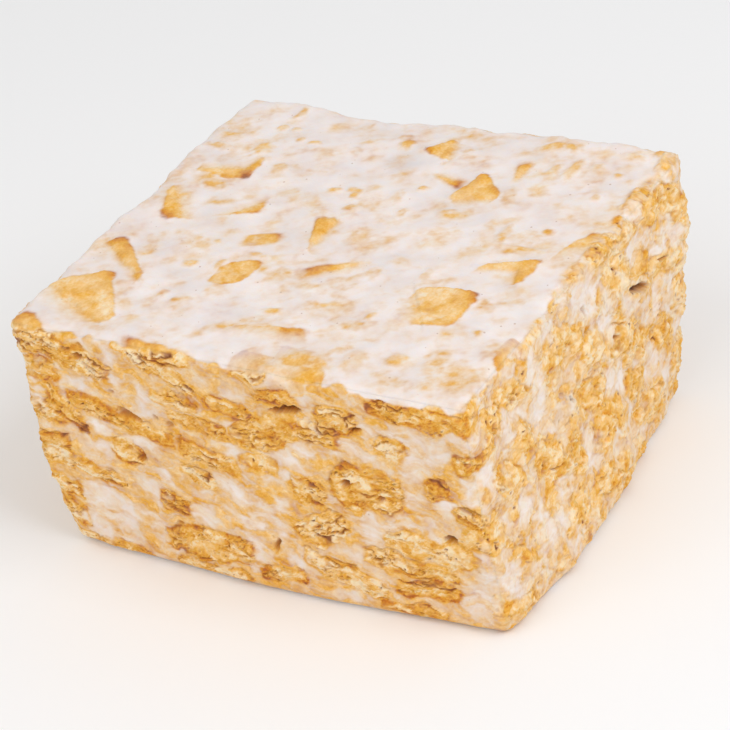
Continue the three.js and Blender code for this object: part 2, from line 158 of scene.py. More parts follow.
# Open gaps: face, middle, width, height, turn and depth.
GAPS = [
    ("front", 46.2, 6.1, 4.6, 1.5, -14, 3.0), ("front", 44.0, 7.0, 3.4, 1.0, -24, 1.6),
    ("front", 16.7, 13.6, 5.0, 1.6, 18, 1.0), ("front", 54.2, 17.8, 2.0, 1.2, -25, 2.0),
    ("front", 59.4, 19.8, 1.5, 1.1, 0, 1.1), ("front", 70.0, 25.3, 2.0, 1.5, 0, 2.4),
    ("front", 17.8, 21.4, 1.6, 1.5, 0, 0.9), ("front", 23.9, 14.0, 1.4, 1.2, 0, 0.7),
    ("front", 14.4, 9.9, 1.2, 0.8, 20, 0.7), ("front", 11.4, 5.8, 3.0, 0.8, 42, 0.9),
    ("front", 7.6, 3.0, 1.6, 0.7, -10, 0.8), ("front", 9.6, 4.1, 2.4, 0.9, 14, 1.3),
    ("front", 73.4, 19.0, 2.2, 0.9, 25, 1.2), ("front", 62.0, 1.4, 1.6, 0.9, 10, 0.8),
    ("front", 57.0, 8.2, 2.4, 0.6, -35, 1.1), ("front", 21.6, 13.2, 1.0, 0.8, 0, 0.6),
    ("front", 40.2, 32.4, 0.9, 2.8, 5, 1.2),
    ("right", 53.4, 12.5, 6.4, 1.3, 27, 2.8), ("right", 62.0, 12.3, 2.6, 0.9, 18, 2.2),
    ("right", 28.2, 17.0, 1.9, 0.8, 48, 2.2), ("right", 17.8, 23.2, 2.6, 1.0, 55, 1.1),
    ("right", 21.0, 24.6, 4.0, 0.7, 14, 0.8), ("right", 6.0, 8.0, 1.1, 0.8, 0, 1.4),
    ("right", 12.6, 7.6, 1.4, 0.7, 30, 1.4), ("right", 44.4, 16.0, 1.6, 0.7, 25, 1.4),
    ("right", 39.4, 10.2, 2.0, 0.8, -10, 1.6), ("right", 35.8, 6.4, 0.8, 2.0, 0, 1.4),
    ("back", 22.0, 17.0, 5.0, 1.5, 12, 2.6), ("back", 57.0, 29.0, 2.4, 1.3, -10, 2.2),
    ("back", 40.0, 8.0, 2.8, 1.0, 20, 2.0), ("back", 66.0, 12.0, 2.0, 1.2, 0, 2.0),
    ("left", 41.0, 23.0, 4.4, 1.4, -10, 2.6), ("left", 15.0, 14.0, 2.2, 1.2, 25, 2.0),
    ("left", 56.0, 33.0, 2.6, 1.1, 12, 2.0), ("left", 29.0, 34.0, 1.8, 1.3, 0, 1.8),
]


def draws(seed):
    """Even random numbers from a plain multiplying generator, so that each run is alike."""
    state = seed
    while True:
        state = state * 48271 % 2147483647
        yield state / 2147483647


def drawn_slivers(face, seed):
    """The cuts that the photo doesn't show, by rule: along each layer the slivers follow one
    another with a gap that marshmallow fills, each a draw of length, thickness and turn."""
    draw = draws(seed)
    across, down = FACES[face][2]
    slivers, pools = [], []
    for layer in range(int(down / LAYER_PITCH)):
        along = -next(draw) * SQUARE / 2
        while along < across:
            length = (0.4 + 0.65 * next(draw)) * SQUARE
            height = (layer + 0.35 + 0.4 * next(draw)) * LAYER_PITCH
            thick = (0.7 + 0.6 * next(draw)) * THICKNESS
            turn = -16 + 40 * next(draw)
            slivers.append((along + length / 2, height, length, thick, turn))
            gap = 0.5 + 5.0 * next(draw) ** 1.5
            if gap > 2:
                pool = (along + length + gap / 2, height, 0.8 * gap, LAYER_PITCH * (0.7 + next(draw)), turn)
                pools.append(pool)
            along += length + gap
    return slivers, pools


def on_face(face, u, v, turn):
    """The place on the box u right of and v below the face's top left corner, and three unit rows:
    along the turned piece, across it, and out of the face."""
    out, right = (np.array(way, float) for way in FACES[face][:2])
    across, down = FACES[face][2]
    up = np.cross(out, right)
    middle = np.array([0, 0, HEIGHT / 2]) + out * HALF
    middle = middle + right * (u - across / 2) + up * (down / 2 - v)
    angle = math.radians(turn)
    along = right * math.cos(angle) - up * math.sin(angle)
    return middle, np.stack([along, np.cross(out, along), out])


SLIVERS = {"front": FRONT_SLIVERS, "right": RIGHT_SLIVERS}
POOLS = {"front": FRONT_POOLS, "right": RIGHT_POOLS}
for face_name, face_seed in (("back", 611), ("left", 947)):
    SLIVERS[face_name], POOLS[face_name] = drawn_slivers(face_name, face_seed)


def near(place, face, u, v, turn, reach):
    """Which points lie within reach of a piece's middle on a face, as positions in the flat list of
    points, and their places in the piece's own directions."""
    middle, rows = on_face(face, u, v, turn)
    picked = np.nonzero(((place - middle) ** 2).sum(-1) < reach * reach)[0]
    return picked, (place[picked] - middle) @ rows.T


OWN_SHIFT = 9.7  # between two slivers' crumb, so that no two are alike


def sliver_field(place):
    """For each point the sliver it is deepest in: how deep it lies inside that rounded bar, in
    millimetres and negative outside, its place in the bar's own directions, and the bar's number. A
    bar thins towards its two ends by the cube of the way there, as a square cut at a slant does."""
    depth = np.full(len(place), -3.0)
    own = place.copy()
    number = np.zeros(len(place))
    count = 0
    for face, slivers in SLIVERS.items():
        for u, v, length, thick, turn in slivers:
            count += 1
            half = np.array([length / 2, thick / 2, SLIVER_DEPTH])
            picked, local = near(place, face, u, v, turn, np.linalg.norm(half) + 3)
            taper = 1 - END_TAPER * np.clip(abs(local[:, 0]) / half[0], 0, 1) ** 3
            over = abs(local) - half * np.stack([np.ones_like(taper), taper, np.ones_like(taper)], -1)
            inside = -np.linalg.norm(np.maximum(over, 0), axis=-1) - np.minimum(over.max(-1), 0)
            wins = inside > depth[picked]
            chosen = picked[wins]
            depth[chosen] = inside[wins]
            own[chosen] = local[wins][:, [0, 2, 1]] + OWN_SHIFT * count
            number[chosen] = count
    return depth, own, number


def pool_field(place):
    """How deep each point lies in a pool of marshmallow: 1 minus its distance from the middle in
    half widths, times the smaller half width."""
    depth = np.full(len(place), -1.0)
    for face, pools in POOLS.items():
        for u, v, width, height, turn in pools:
            half = np.array([width / 2, height / 2, POOL_DEPTH])
            picked, local = near(place, face, u, v, turn, half.max() + 2)
            spread = np.linalg.norm(local / half, axis=-1)
            depth[picked] = np.maximum(depth[picked], (1 - spread) * half[:2].min())
    return depth


def smooth(low, high, value):
    """0 below low, 1 above high, and 3 t^2 - 2 t^3 of the share t between them."""
    share = np.clip((value - low) / (high - low), 0, 1)
    return share * share * (3 - 2 * share)


FULL_SHADE_DEPTH = 2.6  # the depth at which a gap's painted shade is quite dark


def gap_field(place):
    """How deep each point lies in an open gap: the gap's depth times (1 - spread squared), under a
    root where the gap is deep. And how dark painted shade makes it there: most in its middle and where it
    is deep."""
    depth = np.zeros(len(place))
    painted_gap_dark = np.zeros(len(place))
    for face, u, v, width, height, turn, deep in GAPS:
        shade = min(1.0, (deep / FULL_SHADE_DEPTH) ** 2)
        half = np.array([width / 2, height / 2, GAP_DEPTH])
        picked, local = near(place, face, u, v, turn, half.max() + 1)
        spread = np.linalg.norm((local / half)[:, :2], axis=-1)
        bowl = np.clip(1 - spread**2, 0, 1) ** (1 - 0.5 * shade)
        depth[picked] = np.maximum(depth[picked], deep * bowl)
        painted_gap_dark[picked] = np.maximum(painted_gap_dark[picked], (0.3 + 0.7 * shade) * smooth(1.2, 0.3, spread))
    return depth, painted_gap_dark


def scatter(lattice, salt):
    """Numbers from 0 to 1 for whole-number places: each coordinate times its own odd number, the
    three mixed by exclusive or, then twice folded on themselves and multiplied."""
    whole = lattice.astype(np.int64).astype(np.uint32)
    mixed = whole[..., 0] * np.uint32(0x9E3779B1)
    mixed ^= whole[..., 1] * np.uint32(0x85EBCA77)
    mixed ^= whole[..., 2] * np.uint32(0xC2B2AE3D)
    mixed ^= np.uint32((salt * 0x27D4EB2F) % 2**32)
    for fold, factor in ((15, 0x2C1B3C6D), (12, 0x297A2D39)):
        mixed ^= mixed >> np.uint32(fold)
        mixed *= np.uint32(factor)
    mixed ^= mixed >> np.uint32(15)
    return mixed / 2.0**32


def noise(place, span, salt, octaves=1):
    """Smooth noise from about -1 to 1: a number at each corner of a lattice of that span in
    millimetres, mixed across each box of it by smooth weights. Each further octave has half the
    span and half the height. The salt tells one noise from the next."""
    total = 0.0
    for octave in range(octaves):
        spot = place / (np.asarray(span) / 2**octave) + 7.13 * (salt + octave)
        cell = np.floor(spot)
        share = spot - cell
        share = share * share * (3 - 2 * share)
        value = 0.0
        for corner in np.ndindex(2, 2, 2):
            weight = np.prod(np.where(np.array(corner), share, 1 - share), axis=-1)
            value = value + weight * scatter(cell + corner, salt + 31 * octave)
        total = total + (2 * value - 1) / 2**octave
    return total * 1.25 / (2 - 0.5 ** (octaves - 1))


def noises(place, span, salt, octaves=1, ways=3):
    """Several such noises side by side, as a push in as many directions."""
    return np.stack([noise(place, span, salt + k, octaves) for k in range(ways)], -1)


def cells(place, span, salt):
    """Broken cells round one seed in each box of a lattice: for each point the seed's three random
    numbers, how much further the second nearest seed is (0 on a crack), and the way to the seed, all
    in spans."""
    spot = place / np.asarray(span)
    base = np.floor(spot)
    nearest = np.full(spot.shape[:-1], 9.0)
    second = nearest.copy()
    owner = base.copy()
    way = np.zeros_like(spot)
    for shift in np.ndindex(3, 3, 3):
        cell = base + np.array(shift) - 1
        seed = np.stack([scatter(cell, salt + k) for k in range(3)], -1)
        gap = cell + seed - spot
        far = np.sqrt((gap**2).sum(-1))
        closer = far < nearest
        second = np.where(closer, nearest, np.minimum(second, far))
        nearest = np.where(closer, far, nearest)
        owner = np.where(closer[..., None], cell, owner)
        way = np.where(closer[..., None], gap, way)
    lot = np.stack([scatter(owner, salt + 10 + k) for k in range(3)], -1)
    return lot, second - nearest, way


# The layers lie at a slant, down towards the right and the back, as the tray was
# pressed. Rows: two ways along a layer and the way out of it.
SLANT = np.array([0.25, 0.55, 1.0]) / math.sqrt(0.25**2 + 0.55**2 + 1)
ALONG = np.cross([0, 1, 0], SLANT) / np.linalg.norm(np.cross([0, 1, 0], SLANT))
LAYERS = np.stack([ALONG, np.cross(SLANT, ALONG), SLANT])

# Broken pieces of crumb, in millimetres along, across and through their layer.
# The front cut sliced them flat, and the right one tore them into lumps.
FLAKE, FINE_FLAKE = (4.0, 4.0, 1.2), (0.95, 0.95, 0.4)
LUMP, FINE_LUMP = (2.8, 2.8, 2.0), (1.2, 1.2, 0.9)
CUT_FILM = 0.44  # the most marshmallow that the knife leaves on the crumb
BARE_FILM = 0.35  # a film of this thickness fills two thirds of the crumb's relief
RIM_AT, RIM_WIDTH = 0.25, 0.42  # of a sliver's browned rim, in from its outline
# Steps between flakes, what one rises by towards its upper edge, and the depths of what breaks it.
STEP, RISE, FINE_STEP, FINE_RISE = 0.36, 0.2, 0.18, 0.08
CRACK_DEPTH, PIT_DEPTH, PORE_DEPTH, PARTING_DEPTH = 0.27, 0.1, 0.28, 0.3
SWELL, TORN_SWELL = 0.33, 0.37  # of the cut's broad waves, and what tearing adds


def torn_share(place):
    """1 where the cut tore and 0 where it was sliced: a smooth step across the edge between the
    front and the right cut, times another from the middle of the block to the right."""
    past_edge = place[:, 1] + HALF[1] - HALF[0] + place[:, 0]
    return smooth(-5, 5, past_edge) * smooth(0, 30, place[:, 0])


def marshmallow_cover(place, layer, warp, torn, sliver, pool):
    """How far marshmallow covers each point, from about -1 to 1: more in the pools and less over
    the slivers, plus streaks drawn out along the layers, or downwards where the cut tore, round
    blobs and the fine noise that frays their borders."""
    drawn_down = 1.1 * noise(place + 0.6 * warp, (1.6, 1.6, 8.0), 15, 3)
    streak = noise(layer, (3.4, 3.4, 1.0), 14, 3) * (1 - torn) + drawn_down * torn
    fray = noise(place, 1.0, 9, 2)
    blobs = noise(layer, (3.0, 3.0, 1.4), 16, 2)
    body = np.clip(sliver / 0.7, -1, 1)
    cover = 0.55 * np.clip(pool / 1.2, -0.6, 0.8) - 0.2 * body + 0.5 * streak + 0.55 * blobs
    cover += 0.3 * fray * (1 - 0.4 * torn) + 0.24 * torn - 0.17
    return cover


def dress_cut(place):
    """The relief and make-up of a cut, from the place in the block alone, so that two faces agree at
    the edge they share. The film is thick where it covers well and thin on a sliver's baked rim.
    The crumb is broken cells at two sizes: each has a height of its own and rises towards its upper
    edge, then drops like a saw tooth. Cracks run along the layers between some, seams follow where
    a noise is zero, and pores are round dents at the seeds of some fine cells."""
    warp = noises(place, 3.2, 5, 3)
    ragged = noises(place, 0.9, 2)
    speckle = noise(place, 0.6, 18, 2)
    torn = torn_share(place)
    layer = (place + 1.5 * warp) @ LAYERS.T
    bent = place + 0.95 * warp + 0.32 * ragged
    sliver, own, number = sliver_field(bent)
    inside = smooth(-0.3, 0.3, sliver)
    rim = np.exp(-((sliver - RIM_AT) / RIM_WIDTH) ** 2) * smooth(-0.7, 0.2, noise(place, 2.4, 90))
    rim *= 1 - 0.7 * torn
    loose = 0.35 + 0.65 * np.maximum(inside, torn)
    skin = 1 - 0.6 * rim  # the baked outer side of a square is smooth

    grain = np.where(inside[:, None] > 0.5, own, layer)
    grain = grain + 0.3 * noises(place, 0.9, 20, 2)
    lumpy = torn[:, None] > 0.5
    lot, crack, way = cells(grain, np.where(lumpy, LUMP, FLAKE), 40)
    fine_lot, fine_crack, fine_way = cells(grain, np.where(lumpy, FINE_LUMP, FINE_FLAKE), 60)

    # Between the slivers each crumb lies under its own thickness of film, with more in the joints.
    cover = marshmallow_cover(place, layer, warp, torn, sliver, pool_field(bent))
    film = CUT_FILM * smooth(-0.5, 1.0, cover) * (1 + 0.4 * noise(place, 1.6, 17, 2))
    film *= 1 - 0.85 * rim
    joints = 1 - smooth(0, 0.3, crack)
    film += (1 - inside) * (0.24 * (lot[:, 1] - 0.5) + 0.15 * joints + 0.01)
    film = np.clip(film + (0.06 + 0.12 * film) * speckle, 0, None)
    bare = np.exp(-film / BARE_FILM)

    # Ledges and finer ones on them, cracks, seams, pits and pores.
    ledge = STEP * (lot[:, 0] - 0.5) - RISE * way[:, 2]
    ledge = ledge * (1 - 0.15 * torn) * loose * skin
    fine = FINE_STEP * (fine_lot[:, 0] - 0.5) - FINE_RISE * fine_way[:, 2]
    fine = fine * (1 + 1.3 * torn) * loose * skin + 0.05 * speckle
    pits = (1 - smooth(0, 0.16, fine_crack)) * smooth(-0.1, 0.5, noise(place, 1.3, 52)) * loose * skin
    pore_far = np.linalg.norm(fine_way, axis=-1) + 0.12 * speckle
    pore = smooth(0.4, 0.1, pore_far) * (fine_lot[:, 2] < 0.1 + 0.12 * torn) * loose
    broken = smooth(-0.1, 0.5, noise(place, 2.6, 51, 2))
    level = smooth(0.2, 0.42, abs(way[:, 2]))  # 1 where the nearest crack runs along the layer
    split = (1 - smooth(0.03, 0.18, crack)) * level * broken * loose * (1 - 0.4 * torn)
    seam = np.exp(-(noise(layer, (7.0, 7.0, 1.5), 55, 2) / 0.07) ** 2)
    seam *= smooth(0, 0.5, noise(place, 4.0, 56))
    split = np.maximum(0.7 * split, seam * inside * (1 - 0.8 * torn))
    flakes = ledge + fine - CRACK_DEPTH * split - PIT_DEPTH * pits - PORE_DEPTH * pore

    # Each sliver stands out by its own height, and some part from the rest along their upper edge.
    heights, tones = (scatter(np.stack([number] * 3, -1), salt) for salt in (3, 8))
    dome = (0.03 + 0.17 * heights) * smooth(-0.2, 1.2, sliver) * (1 + 0.8 * torn)
    upper = smooth(0, 0.8, own[:, 2] - OWN_SHIFT * number)
    parting = np.exp(-((sliver + 0.1) / 0.14) ** 2) * upper * smooth(-0.1, 0.4, noise(place, 2.2, 95))
    relief = (SWELL + TORN_SWELL * torn) * noise(place, 5.0, 80, 2) + dome
    relief += (flakes - PARTING_DEPTH * parting) * bare - 0.14 * smooth(0.1, 1.0, cover)

    # How toasted it is: pale inside a sliver, brown on its rim and by its own lot, and browner in dents as
    # painted shade.
    toast = 0.34 + inside * (0.03 - 0.3 * tones) * (1 - 0.6 * torn) + 0.27 * rim
    toast += 0.12 * speckle - 0.08 * torn + 0.16 * noise(layer, (1.9, 1.9, 0.9), 98, 2) * (1 - 0.5 * torn)
    # Painted shade and painted highlight: -0.3 * ledge and -0.3 * fine make low flakes browner and raised
    # ones paler; split and pits brown the cracks and dents.
    toast += 0.34 * (lot[:, 2] - 0.5) * loose * (1 - 0.5 * torn) - 0.3 * ledge
    toast += 0.27 * (fine_lot[:, 1] - 0.5) * loose - 0.3 * fine
    toast += 0.14 * noise(place, 2.0, 97, 2) + 0.3 * split + 0.24 * pits - 0.14 * smooth(0, 0.8, cover)
    # Painted shade: cracks, partings and pores are darkened where the crumb is bare.
    gap = np.maximum(np.maximum(0.68 * split, 0.34 * parting), 0.75 * pore) * bare

    # Open gaps sink the relief, and their painted shade joins the same mask.
    hollow, painted_gap_dark = gap_field(place + 0.35 * warp + 0.3 * ragged)
    relief -= hollow
    gap = np.maximum(gap, painted_gap_dark)
    film *= 1 - painted_gap_dark
    return relief, film, np.clip(toast, 0, 1), gap


# ---------------------------------------------------------------------------
# The top. Melted marshmallow set into a smooth film over the last layer of
# toasted squares. Most only show through it as pale patches, but some lift a
# corner or an edge bare out of it, browned at the corner by the oven.

# Lifted pieces: the bare corner from the back left corner, the directions of
# its two sides in degrees clockwise from the right, their lengths, the lift
# of the corner, how far along each side it stays bare, and its outline's power.
LIFTED = [
    (65.2, 44.4, 176, 91, 10, 9.6, 0.6, 11.2, 16.5, 6), (6.7, 55.0, 58.7, 145, 13.8, 12, 0.7, 17, 10.5, 8),
    (3.3, 45.8, 46, 136, 13.3, 6, 0.55, 20, 3.0, 5), (5.4, 39.3, -21, -112, 16, 10, 0.4, 3.4, 12, 8),
    (20.5, 33.4, 159, 248, 16, 10, 0.4, 4.8, 3.2, 8), (12.6, 25.0, 180, 270, 9.5, 9, 0.4, 15, 2.9, 7),
    (12.7, 24.8, 268, 180, 6.6, 8, 0.4, 9, 2.2, 7), (29.7, 32.0, 67, 2, 9.8, 4.6, 0.65, 10, 3.6, 5),
    (49.7, 12.9, 109, 46, 8.2, 7.6, 0.65, 8.8, 8.2, 9), (36.4, 8.9, -48, 21, 5.2, 5.4, 0.5, 6, 5.4, 7),
    (54.0, 8.8, 80, 0, 4.6, 2.6, 0.4, 7, 1.6, 4), (46.8, 17.6, 204, 280, 4.6, 2.4, 0.35, 5, 1.6, 4),
    (69.8, 33.6, 156, 94, 9.4, 8, 0.6, 11, 2.8, 9), (69.8, 33.6, 94, 156, 6.6, 8, 0.6, 9, 3.2, 9),
    (28.6, 45.6, 98, 165, 7.0, 5.8, 0.08, 14, 7, 3), (35.6, 45.8, -30, 60, 7.8, 2.6, 0.25, 12, 1.6, 4),
    (26.8, 38.0, 158, 78, 5.0, 2.8, 0.08, 6, 3.4, 4), (44.2, 60.4, 168, 84, 12, 4.4, 0.06, 5, 0.7, 4),
    (43.0, 65.2, 12, 80, 9, 8, -0.24, 9, 12, 9), (37.6, 68.6, 0, 86, 6.6, 4, -0.2, 8, 9, 9),
    (19.4, 70.4, 4, 90, 9.4, 3, 0.12, 20, 9, 4), (0.2, 68.6, 35, 125, 5.4, 4, 0.12, 12, 5, 5),
    (73.4, 23.8, 108, 20, 9.6, 5, 0.16, 5, 4, 3), (74.2, 54.0, 84, -6, 6.4, 5, -0.16, 6, 5, 5),
    (75.8, 10.4, 100, 0, 8, 4, 0.03, 1, 1, 3), (75.8, 1.4, 80, 0, 7, 3, 0.03, 1, 1, 3),
]
# Sunken pieces: middle, width, height, turn and how deep in the film they lie.
SUNKEN = [
    (50.2, 25.4, 5.4, 2.8, 3, 0.12), (51.4, 32.0, 7.0, 9.0, 0, 0.42), (26.6, 44.6, 4.4, 1.6, 0, 0.14),
    (22.0, 48.4, 1.6, 3.0, 0, 0.12), (15.2, 43.8, 8.0, 4.8, 5, 0.26), (17.9, 42.9, 1.8, 1.5, 0, 0.05),
    (36.6, 62.6, 8.4, 3.6, -12, 0.26), (60.8, 28.2, 2.0, 6.6, -4, 0.2), (65.4, 31.4, 8.4, 1.6, 3, 0.16),
    (64.4, 28.2, 8.0, 5.0, 0, 0.4), (67.1, 26.0, 2.2, 1.9, 0, 0.08), (28.4, 23.8, 2.4, 1.7, -30, 0.06),
    (31.6, 22.8, 3.0, 1.6, 10, 0.1), (32.2, 24.2, 1.6, 1.5, 0, 0.05), (39.0, 22.6, 2.6, 5.2, 10, 0.28),
    (42.0, 19.4, 1.8, 1.6, 0, 0.1), (33.8, 28.0, 2.8, 2.4, 0, 0.2), (42.3, 27.0, 1.7, 4.0, 0, 0.26),
    (29.6, 30.8, 4.6, 3.6, 0, 0.38), (39.0, 34.2, 5.0, 5.0, 20, 0.32), (10.2, 15.4, 3.4, 3.8, 0, 0.1),
    (16.3, 20.2, 2.8, 2.8, 20, 0.22), (2.2, 12.9, 4.6, 1.8, 0, 0.18), (2.6, 16.6, 5.2, 2.2, 0, 0.26),
    (10.6, 3.4, 1.9, 4.6, 10, 0.18), (10.2, 8.5, 1.8, 2.1, 0, 0.1), (12.8, 8.5, 1.7, 1.5, 0, 0.07),
    (15.0, 11.2, 1.8, 1.7, 0, 0.16), (17.7, 11.5, 2.2, 1.5, 0, 0.06), (32.9, 8.0, 2.8, 2.9, 0, 0.04),
    (31.8, 6.0, 3.6, 3.0, 0, 0.36), (56.4, 3.2, 5.4, 2.3, -25, 0.1), (59.8, 2.6, 3.4, 1.9, 30, 0.1),
    (62.8, 8.6, 2.2, 6.0, 6, 0.04), (59.8, 9.4, 1.7, 4.6, 8, 0.14), (66.4, 6.6, 2.2, 2.2, 0, 0.18),
    (70.6, 8.4, 1.5, 1.7, 0, 0.12), (71.0, 2.4, 4.0, 2.0, 0, 0.22), (69.6, 14.6, 2.0, 2.4, 0, 0.2),
    (56.6, 18.4, 3.4, 6.4, -20, 0.3), (8.6, 27.4, 5.4, 2.8, 0, 0.16), (17.1, 49.4, 2.4, 2.2, 0, 0.14),
    (32.6, 48.6, 6.0, 5.4, 0, 0.36), (43.4, 48.0, 7.4, 5.0, 0, 0.44), (36.3, 57.6, 3.4, 1.8, 0, 0.1),
    (25.2, 54.6, 4.8, 4.6, 0, 0.3), (43.0, 54.9, 6.4, 5.4, 0, 0.34), (50.0, 57.6, 6.0, 4.0, 0, 0.32),
    (51.8, 54.5, 1.8, 2.6, 10, 0.16), (20.9, 59.8, 2.6, 4.4, 0, 0.28), (17.6, 58.4, 2.2, 3.4, 0, 0.34),
    (55.2, 66.2, 4.4, 6.4, 0, 0.3), (54.6, 42.0, 2.4, 5.4, 0, 0.34), (67.2, 62.4, 4.6, 8.4, 0, 0.26),
    (61.3, 63.8, 3.4, 3.4, 0, 0.08), (68.4, 68.6, 4.4, 4.4, 0, 0.36), (7.6, 45.2, 4.4, 3.0, 20, 0.4),
    (66.6, 47.0, 2.2, 4.4, 0, 0.34), (69.2, 54.0, 2.6, 1.8, 20, 0.3), (26.0, 12.0, 3.6, 3.2, 0, 0.4),
    (23.6, 3.8, 4.4, 3.6, 0, 0.42), (44.0, 7.6, 3.4, 3.0, 20, 0.42), (49.0, 39.6, 4.4, 3.4, 0, 0.36),
    (57.6, 52.6, 4.4, 3.0, 30, 0.42), (12.8, 62.0, 5.0, 3.4, 50, 0.4), (30.0, 64.6, 4.0, 3.4, 0, 0.4),
    (12.4, 69.2, 6.0, 2.4, 0, 0.3), (32.6, 37.6, 2.4, 3.4, 0, 0.4), (46.4, 44.0, 3.4, 4.4, 0, 0.4),
    (22.0, 19.0, 4.0, 3.0, 0, 0.5), (48.0, 68.0, 9.0, 5.4, 8, 0.08), (51.4, 64.0, 3.0, 2.0, 40, 0.3),
    (71.6, 65.4, 8.8, 8.0, 12, 0.2), (73.8, 57.4, 4.4, 6.4, 0, 0.26), (62.6, 68.8, 6.4, 3.6, 0, 0.26),
]
FILM_DEPTH = 0.66  # of marshmallow over the cereal where nothing shows
# The film was spread this way: along its wisps, across them, and up.
SPREAD = np.array([(0.83, 0.55, 0), (-0.55, 0.83, 0), (0, 0, 1.0)])
TOP_CORNER = 0.3  # how far the corner that the lists count from lies outside the box
WORN = 2.6  # the power of a broken, worn square's outline


def turned(right, down, turn):
    """The ways along and across a piece that is turned clockwise: right times cosine plus down times
    sine, and down times cosine less right times sine."""
    angle = math.radians(turn)
    cos, sin = math.cos(angle), math.sin(angle)
    return right * cos + down * sin, down * cos - right * sin


def outline(share_a, share_b, power):
    """0 in the middle of a rounded rectangle and 1 on its outline: both shares of the half sizes to
    that power, added, and the root of the same power. A higher one gives sharper corners."""
    return (abs(share_a) ** power + abs(share_b) ** power) ** (1 / power)


def sunken_squares(u, v, grit, wisps, over):
    """Raises the cereal's height over, below the film's face, to that of each sunken piece: minus
    its depth inside a rounded outline, and falling past half way to it, with noise added. Returns
    how far the film swells over each, most over the shallow ones."""
    swell = np.zeros(len(u))
    for middle_u, middle_v, width, height, turn, sunk in SUNKEN:
        picked = np.nonzero((abs(u - middle_u) < width) & (abs(v - middle_v) < height + width))[0]
        along, aside = turned(u[picked] - middle_u, v[picked] - middle_v, turn)
        spread = outline(2 * along / width, 2 * aside / height, WORN)
        value = -sunk - 0.8 * np.clip(spread - 0.5, 0, None) + 0.26 * grit[picked] + 0.15 * wisps[picked]
        over[picked] = np.maximum(over[picked], np.minimum(value, -0.03))
        swell[picked] = np.maximum(swell[picked], 0.22 * smooth(1.3, 0.6, spread) * (1 - sunk))
    return swell


def lifted_squares(place, u, v, grit, wisps, over, swell, toast):
    """Raises over to each lifted piece's height: its lift times (1 - way along one side / bare way -
    the same along the other), under a veil of marshmallow that grows towards its far corner, and
    cut off steeply at its outline. Browns the piece by exp(-distance from the corner / 2 mm) and a
    little along its outline, and raises swell where the film climbs up its walls."""
    for at_u, at_v, turn_a, turn_b, long_a, long_b, lift, bare_a, bare_b, square in LIFTED:
        reach = math.hypot(long_a, long_b) + 2
        picked = np.nonzero((u - at_u) ** 2 + (v - at_v) ** 2 < reach**2)[0]
        ways = [(math.cos(math.radians(t)), math.sin(math.radians(t))) for t in (turn_a, turn_b)]
        spread = ways[0][0] * ways[1][1] - ways[0][1] * ways[1][0]
        du, dv = u[picked] - at_u, v[picked] - at_v
        side_a = (du * ways[1][1] - dv * ways[1][0]) / spread
        side_b = (dv * ways[0][0] - du * ways[0][1]) / spread
        share_a, share_b = 2 * side_a / long_a - 1, 2 * side_b / long_b - 1
        inside = (1 - outline(share_a, share_b, square)) * min(long_a, long_b) / 2
        slope = lift * (1 - np.clip(side_a, 0, None) / bare_a - np.clip(side_b, 0, None) / bare_b)
        slope = np.where(slope < 0, 2.2 * slope, slope)
        steep = np.clip(0.35 * min(long_a, long_b), 0.6, 1.8)
        veil = np.clip(0.25 * wisps[picked] + 0.45 * noise(place[picked], 1.9, 127, 3) + 0.06, 0, 1)
        veil *= smooth(0.35, 0.9, np.hypot(side_a, side_b) / math.hypot(long_a, long_b))
        value = np.minimum(slope + 0.07 * grit[picked] - veil, steep * (inside + 0.22 * grit[picked]))
        wins = value > over[picked]
        chosen = picked[wins]
        over[chosen] = value[wins]
        corner = np.hypot(side_a, side_b)[wins]
        toast[chosen] = 0.24 + 0.5 * np.exp(-corner / 2.0) + 0.12 * np.exp(-abs(inside[wins]) / 0.3)
        outside = np.exp(-np.clip(-inside, 0, None) / 1.2) * np.clip(lift, 0, 0.6)
        swell[picked] = np.maximum(swell[picked], 0.45 * outside * (slope > 0))


def dress_top(place):
    """The relief and make-up of the filmed top. The cereal's height over the film's face is minus
    the film's depth plus noise, or a piece's where that is higher. Below zero it is the film's
    thickness, and above it the piece stands bare. The relief is a wavy level, the film's swell over
    the pieces, and what stands bare."""
    warp = noises(place, 2.4, 105, 3, ways=2)
    u = place[:, 0] + HALF[0] + TOP_CORNER + 0.4 * warp[:, 0]
    v = HALF[1] + TOP_CORNER - place[:, 1] + 0.4 * warp[:, 1]
    grit = noise(place, 0.9, 110, 2)
    spread_way = place @ SPREAD.T
    wisps = noise(spread_way, (7.0, 1.3, 2.0), 114, 3)
    over = -FILM_DEPTH + 0.56 * noise(place, 2.6, 112, 3) + 0.22 * wisps + 0.14 * grit
    toast = 0.3 + 0.2 * noise(place, 5.0, 116, 2)
    swell = sunken_squares(u, v, grit, wisps, over)
    lifted_squares(place, u, v, grit, wisps, over, swell, toast)
    level = 0.26 * noise(place, 11.0, 120, 2) + 0.16 * noise(place, 4.2, 121, 2)
    level += 0.05 * noise(place, 1.5, 122)
    bare = 0.7 * np.clip(over, 0, None)
    crumb = smooth(0, 0.15, over) * (0.05 * grit + 0.05 * noise(place, 0.5, 125))
    relief = level + swell + bare + crumb
    film = np.clip(-over, 0, 1.6) + 0.04 * np.clip(1 + 1.5 * noise(place, 1.8, 131, 2), 0, 2)
    toast = np.clip(toast + 0.16 * grit + 0.14 * noise(place, 3.0, 130), 0, 1)
    return relief, film, toast, np.zeros(len(place))


# ---------------------------------------------------------------------------
# The foot. The tray's flat floor pressed the first layer of squares level, so
# they lie flush in the marshmallow and show through a thin, greasy film.

ROWS, COLUMNS = 6, 6
PITCH_ACROSS, PITCH_DOWN = 13.6, 12.6
PRESSED = 6  # the power of a whole square's outline
FOOT_FILM = 0.9  # the film's thickness between the squares
